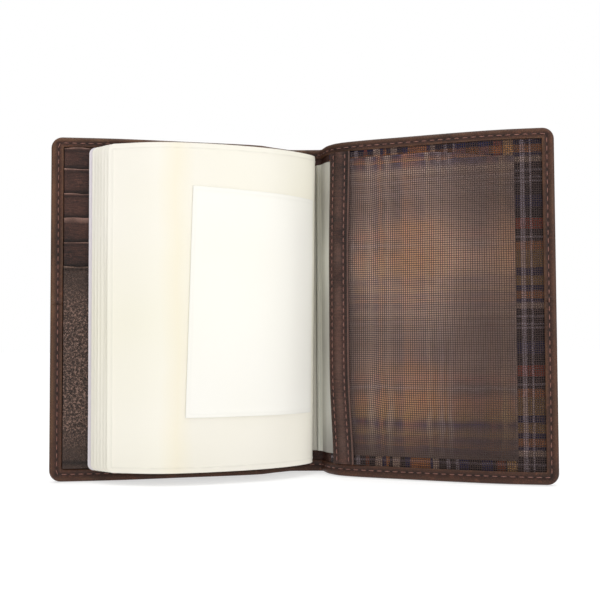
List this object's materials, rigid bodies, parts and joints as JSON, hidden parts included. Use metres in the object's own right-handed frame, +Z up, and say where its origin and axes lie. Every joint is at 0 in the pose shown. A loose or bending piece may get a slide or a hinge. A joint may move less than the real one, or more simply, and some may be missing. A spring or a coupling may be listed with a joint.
{
  "type": "travel document wallet",
  "caption": "Leather bifold travel wallet, standing open, with card slots, a net pocket over a checked lining and a vinyl insert of sleeve leaves.",
  "frame": {"origin": "centre of the footprint, on the surface that the wallet stands on", "axes": "+Z up along the fold lines, +X from the card-slot cover to the net-pocket cover, -Y the open side"},
  "size_m": [0.2026, 0.0442, 0.14],
  "materials": {
    "hide": "dark brown, fine grain, semi-matt",
    "trim_leather": "dark brown, smooth, satin",
    "panel_leather": "dark brown, pebbled, satin",
    "board": "matt card",
    "lining_cloth": "plain weave",
    "checked_cloth": "checked cotton weave",
    "net": "open woven net",
    "vinyl_clear": "milky soft vinyl",
    "vinyl_grey": "grey soft vinyl",
    "thread": "waxed sewing thread"
  },
  "bodies": {
    "spine": {"spine_leather": "hide", "spine_lining": "trim_leather", "insert_root_bar": "vinyl_clear"},
    "left_shoulder": {"left_shoulder_leather": "hide", "left_shoulder_lining": "trim_leather", "left_flap_root": "vinyl_grey"},
    "left_cover": {"left_cover_leather": "hide", "left_hem": "hide", "left_stiffener": "board", "left_lining": "lining_cloth", "left_tuck_flap": "vinyl_grey", "slot_base_strip": "trim_leather", "card_slot_1": "trim_leather", "card_slot_2": "trim_leather", "card_slot_3": "trim_leather", "card_slot_4": "trim_leather", "front_panel": "panel_leather"},
    "right_shoulder": {"right_shoulder_leather": "hide", "right_shoulder_lining": "trim_leather", "right_flap_root": "vinyl_grey"},
    "right_cover": {"right_cover_leather": "hide", "right_hem": "hide", "right_stiffener": "board", "checked_lining": "checked_cloth", "right_tuck_flap": "vinyl_grey", "binding_back_ply": "trim_leather", "binding_front_ply": "trim_leather", "net_panel": "net"},
    "leaf_1": {"leaf_1": "vinyl_clear", "card_pocket": "vinyl_clear"},
    "leaf_2": {"leaf_2": "vinyl_clear"},
    "leaf_3": {"leaf_3": "vinyl_clear"},
    "leaf_4": {"leaf_4": "vinyl_clear"},
    "leaf_5": {"leaf_5": "vinyl_clear"},
    "leaf_6": {"leaf_6": "vinyl_clear"},
    "leaf_7": {"leaf_7": "vinyl_clear"}
  },
  "joints": [
    {"name": "left_fold_at_spine", "type": "hinge", "parent": "spine", "child": "left_shoulder", "pos_m": [-0.00413, 0.02092, 0], "axis": [0, 0, 1], "range_deg": [-9.6, 49.2]},
    {"name": "left_fold_at_cover", "type": "hinge", "parent": "left_shoulder", "child": "left_cover", "pos_m": [-0.01132, 0.01552, 0], "axis": [0, 0, 1], "range_deg": [-3.85, 19.69]},
    {"name": "right_fold_at_spine", "type": "hinge", "parent": "spine", "child": "right_shoulder", "pos_m": [0.01087, 0.02092, 0], "axis": [0, 0, -1], "range_deg": [-4.4, 13.2]},
    {"name": "right_fold_at_cover", "type": "hinge", "parent": "right_shoulder", "child": "right_cover", "pos_m": [0.01317, 0.01232, 0], "axis": [0, 0, -1], "range_deg": [-15.41, 46.21]},
    {"name": "leaf_1_turn", "type": "hinge", "parent": "spine", "child": "leaf_1", "pos_m": [0.00477, 0.01782, 0], "axis": [0, 0, 1], "range_deg": [-12.04, 61.66], "deforming": ["leaf_1", "card_pocket"]},
    {"name": "leaf_2_turn", "type": "hinge", "parent": "spine", "child": "leaf_2", "pos_m": [0.00402, 0.01782, 0], "axis": [0, 0, 1], "range_deg": [-12.2, 62.48], "deforming": ["leaf_2"]},
    {"name": "leaf_3_turn", "type": "hinge", "parent": "spine", "child": "leaf_3", "pos_m": [0.00328, 0.01782, 0], "axis": [0, 0, 1], "range_deg": [-12.36, 63.3], "deforming": ["leaf_3"]},
    {"name": "leaf_4_turn", "type": "hinge", "parent": "spine", "child": "leaf_4", "pos_m": [0.00252, 0.01782, 0], "axis": [0, 0, 1], "range_deg": [-12.52, 64.12], "deforming": ["leaf_4"]},
    {"name": "leaf_5_turn", "type": "hinge", "parent": "spine", "child": "leaf_5", "pos_m": [0.00178, 0.01782, 0], "axis": [0, 0, 1], "range_deg": [-12.68, 64.94], "deforming": ["leaf_5"]},
    {"name": "leaf_6_turn", "type": "hinge", "parent": "spine", "child": "leaf_6", "pos_m": [0.00103, 0.01782, 0], "axis": [0, 0, 1], "range_deg": [-12.84, 65.76], "deforming": ["leaf_6"]},
    {"name": "leaf_7_turn", "type": "hinge", "parent": "spine", "child": "leaf_7", "pos_m": [0.00028, 0.01782, 0], "axis": [0, 0, 1], "range_deg": [-13, 66.58], "deforming": ["leaf_7"]}
  ],
  "couplings": [
    {"joint": "left_fold_at_cover", "follows": "left_fold_at_spine", "ratio": 0.4},
    {"joint": "right_fold_at_cover", "follows": "right_fold_at_spine", "ratio": 3.5},
    {"joint": "leaf_1_turn", "follows": "left_fold_at_spine", "ratio": 1.253},
    {"joint": "leaf_2_turn", "follows": "left_fold_at_spine", "ratio": 1.2697},
    {"joint": "leaf_3_turn", "follows": "left_fold_at_spine", "ratio": 1.2863},
    {"joint": "leaf_4_turn", "follows": "left_fold_at_spine", "ratio": 1.303},
    {"joint": "leaf_5_turn", "follows": "left_fold_at_spine", "ratio": 1.3197},
    {"joint": "leaf_6_turn", "follows": "left_fold_at_spine", "ratio": 1.3363},
    {"joint": "leaf_7_turn", "follows": "left_fold_at_spine", "ratio": 1.353}
  ]
}
